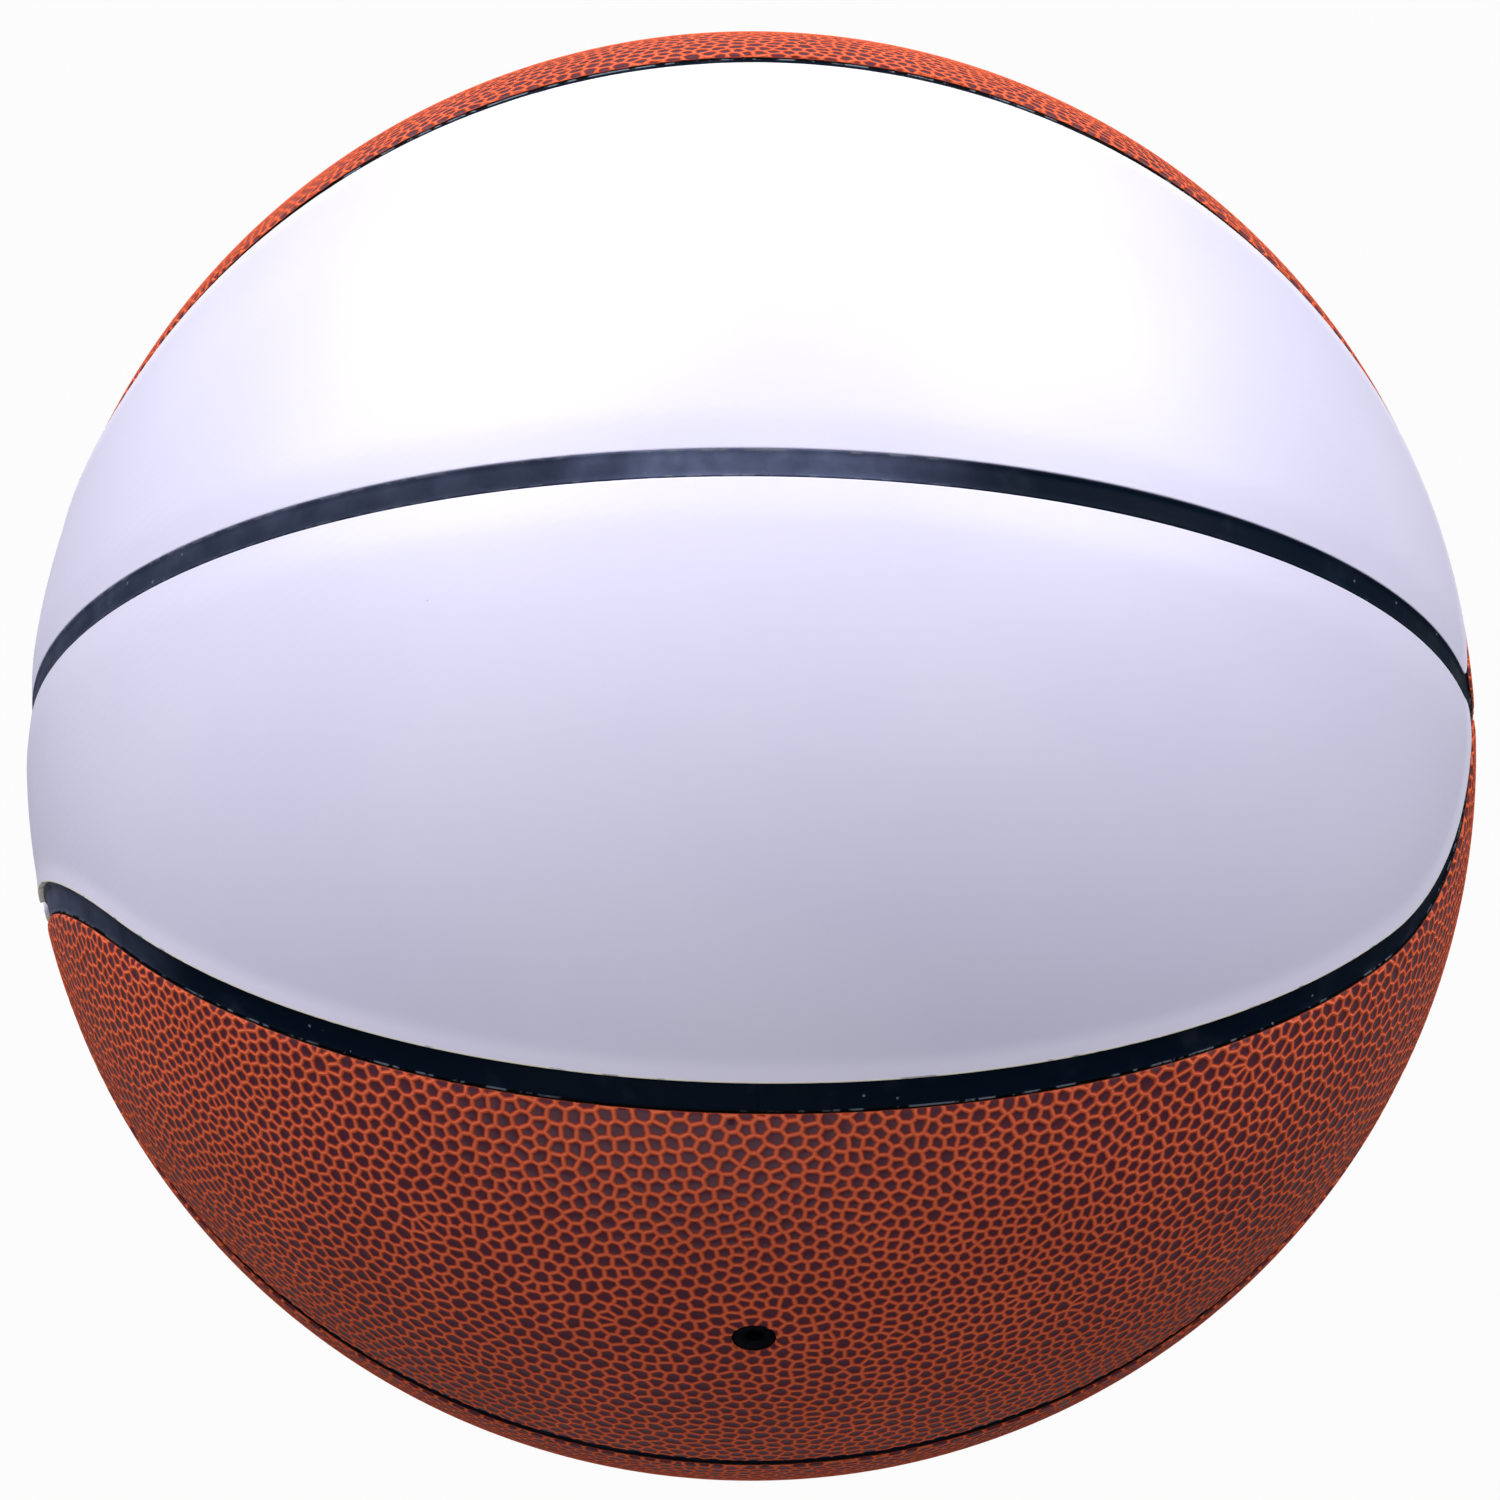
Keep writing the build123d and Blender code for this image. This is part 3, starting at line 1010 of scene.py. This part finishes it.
# %% Valve core
core_bottom = 99.78 * mm
boss_bottom = 102.78 * mm
head_bottom = 118.19 * mm
head_top = 120.1 * mm
head_radius = 3.2 * mm
head_round = 0.4 * mm
shank_radius = 2.6 * mm
tip_radius = 1.5 * mm
bore_radius = 1.45 * mm
funnel_radius = 1.9 * mm
funnel_depth = 0.45 * mm
bore_bottom = 114.1 * mm
round_steps = 5
spin_steps = 64
merge_distance = 0.01 * mm
sharp_angle = math.radians(35)


def core_profile():
    """Radius and height of the core, from its tip round to the bottom of the bore."""
    profile = [(0, core_bottom), (tip_radius, core_bottom), (shank_radius, boss_bottom)]
    profile += [(shank_radius, head_bottom), (head_radius, head_bottom)]
    for step in range(round_steps + 1):
        turn = math.radians(90) * step / round_steps
        radius = head_radius - head_round * (1 - math.cos(turn))
        profile.append((radius, head_top - head_round * (1 - math.sin(turn))))
    profile += [(funnel_radius, head_top), (bore_radius, head_top - funnel_depth)]
    profile += [(bore_radius, bore_bottom), (0, bore_bottom - bore_radius)]
    return profile


def valve_core():
    """Spin the profile of the core."""
    bm = bmesh.new()
    across = Vector((1, 0, 0))
    points = [bm.verts.new(across * r + valve_direction * h) for r, h in core_profile()]
    lines = [bm.edges.new(pair) for pair in zip(points, points[1:])]
    bmesh.ops.spin(
        bm,
        geom=points + lines,
        cent=(0, 0, 0),
        axis=valve_direction,
        angle=2 * math.pi,
        steps=spin_steps,
        use_merge=True,
    )
    bmesh.ops.remove_doubles(bm, verts=bm.verts[:], dist=merge_distance)
    bmesh.ops.recalc_face_normals(bm, faces=bm.faces[:])
    return add_piece(
        bm, "valve_core_turned", "valve_core", valve_rubber, ["valve_core"]
    )


core = valve_core()
core.data.set_sharp_from_angle(angle=sharp_angle)

# %% [markdown]
# ## Layers inside
# The backings, the thread winding, the bladder, the patch and the valve body are right as they
# come from the solid model, and only need their finishes.

# %% Finishes of the layers inside
inner_finishes = {
    "bladder": bladder_rubber,
    "valve_patch": bladder_rubber,
    "thread_winding": nylon_thread,
    "valve_body": valve_rubber,
}
for name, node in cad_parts.items():
    finish = backing_cloth if "backing" in name else inner_finishes.get(name)
    if finish:
        node.material_slots[0].material = finish
        print(name, "has", finish.name)

# %% [markdown]
# ## Floor, light and camera
# The ball lies on a pale floor and is seen from above its front, as in the photograph. Three
# large soft lamps stand behind it, over the middle, to the left and to the right, so that the
# far side is bright and the near side falls into a soft shade. Two more, overhead and low in
# front, bring out the ridges there, and the world gives the rest. The background is white
# because the floor and the world show white to the camera; the floor still takes a soft shadow.

# %% Floor
floor_size = 6.0
floor_grey = (0.15, 0.15, 0.15, 1)
floor_white_share = 0.97
floor_mirrored = 0.1


def background_ray(tree, mirrored):
    """One for rays from the camera or through glass, and a share for those from a reflection."""
    path = tree.nodes.new("ShaderNodeLightPath")
    reflected = calculate(tree, "MULTIPLY", path.outputs["Is Glossy Ray"], mirrored)
    seen = calculate(tree, "MAXIMUM", path.outputs["Is Camera Ray"], reflected)
    return calculate(tree, "MAXIMUM", seen, path.outputs["Is Transmission Ray"])


def floor():
    """A pale floor under the ball."""
    bm = bmesh.new()
    bmesh.ops.create_grid(bm, x_segments=1, y_segments=1, size=floor_size / 2)
    bmesh.ops.translate(bm, verts=bm.verts[:], vec=(0, 0, -ball_radius))
    mesh = bpy.data.meshes.new("floor")
    bm.to_mesh(mesh)
    bm.free()
    finish, tree, shader = new_finish("floor_white", 0.9, 0.0)
    shader.inputs["Base Color"].default_value = floor_grey
    white = add_node(tree, "ShaderNodeEmission")
    blend = tree.nodes.new("ShaderNodeMixShader")
    share = calculate(tree, "MULTIPLY", background_ray(tree, floor_mirrored), floor_white_share)
    tree.links.new(share, blend.inputs["Fac"])
    tree.links.new(shader.outputs["BSDF"], blend.inputs[1])
    tree.links.new(white.outputs["Emission"], blend.inputs[2])
    tree.links.new(blend.outputs["Shader"], tree.nodes["Material Output"].inputs["Surface"])
    mesh.materials.append(finish)
    ground = bpy.data.objects.new("floor", mesh)
    bpy.context.scene.collection.objects.link(ground)
    print("floor lies at", round(-ball_radius, 4))


floor()

# %% World and lamps
world_level = 0.06
world_mirrored = 1.0
lamp_distance = 1.2
lamp_size = 0.9


def studio_world():
    """Even light from all sides, and a white background."""
    world = bpy.data.worlds.new("studio")
    world.use_nodes = True
    tree = world.node_tree
    light = tree.nodes["Background"]
    light.inputs["Color"].default_value = (1, 1, 1, 1)
    light.inputs["Strength"].default_value = world_level
    white = add_node(tree, "ShaderNodeBackground")
    white.inputs["Color"].default_value = (1, 1, 1, 1)
    blend = tree.nodes.new("ShaderNodeMixShader")
    tree.links.new(background_ray(tree, world_mirrored), blend.inputs["Fac"])
    tree.links.new(light.outputs["Background"], blend.inputs[1])
    tree.links.new(white.outputs["Background"], blend.inputs[2])
    tree.links.new(blend.outputs["Shader"], tree.nodes["World Output"].inputs["Surface"])
    bpy.context.scene.world = world


def soft_lamp(name, direction, power):
    """A square lamp that faces the ball from a direction."""
    lamp = bpy.data.lights.new(name, "AREA")
    lamp.energy = power
    lamp.size = lamp_size
    stand = bpy.data.objects.new(name, lamp)
    way = Vector(direction).normalized()
    stand.location = way * lamp_distance
    stand.rotation_euler = way.to_track_quat("Z", "Y").to_euler()
    bpy.context.scene.collection.objects.link(stand)


studio_world()
soft_lamp("back_lamp", (0.0, 0.53, 0.85), 1.4)
soft_lamp("left_lamp", (-0.60, 0.58, 0.54), 15.2)
soft_lamp("right_lamp", (0.64, 0.55, 0.53), 13.2)
soft_lamp("top_lamp", (0.05, -0.15, 0.99), 2.3)
soft_lamp("low_lamp", (-0.20, -0.90, 0.38), 3.7)
bpy.context.scene.view_settings.view_transform = "Standard"

# %% Camera
view_azimuth = math.radians(-2.57)
view_elevation = math.radians(69.29)
view_roll = math.radians(3.0)
view_distance = 0.7799
camera_data = bpy.data.cameras.new("camera")
camera_data.lens = 111.24
camera_data.sensor_width = 36.0
camera_data.shift_x = -0.0009
camera_data.shift_y = 0.0040
camera = bpy.data.objects.new("camera", camera_data)
flat = math.cos(view_elevation)
toward = Vector(
    (math.sin(view_azimuth) * flat, -math.cos(view_azimuth) * flat, math.sin(view_elevation))
)
camera.location = toward * view_distance
aim = toward.to_track_quat("Z", "Y") @ Quaternion((0, 0, 1), view_roll)
camera.rotation_euler = aim.to_euler()
bpy.context.scene.collection.objects.link(camera)
bpy.context.scene.camera = camera
print("camera stands at", [round(part, 3) for part in camera.location])
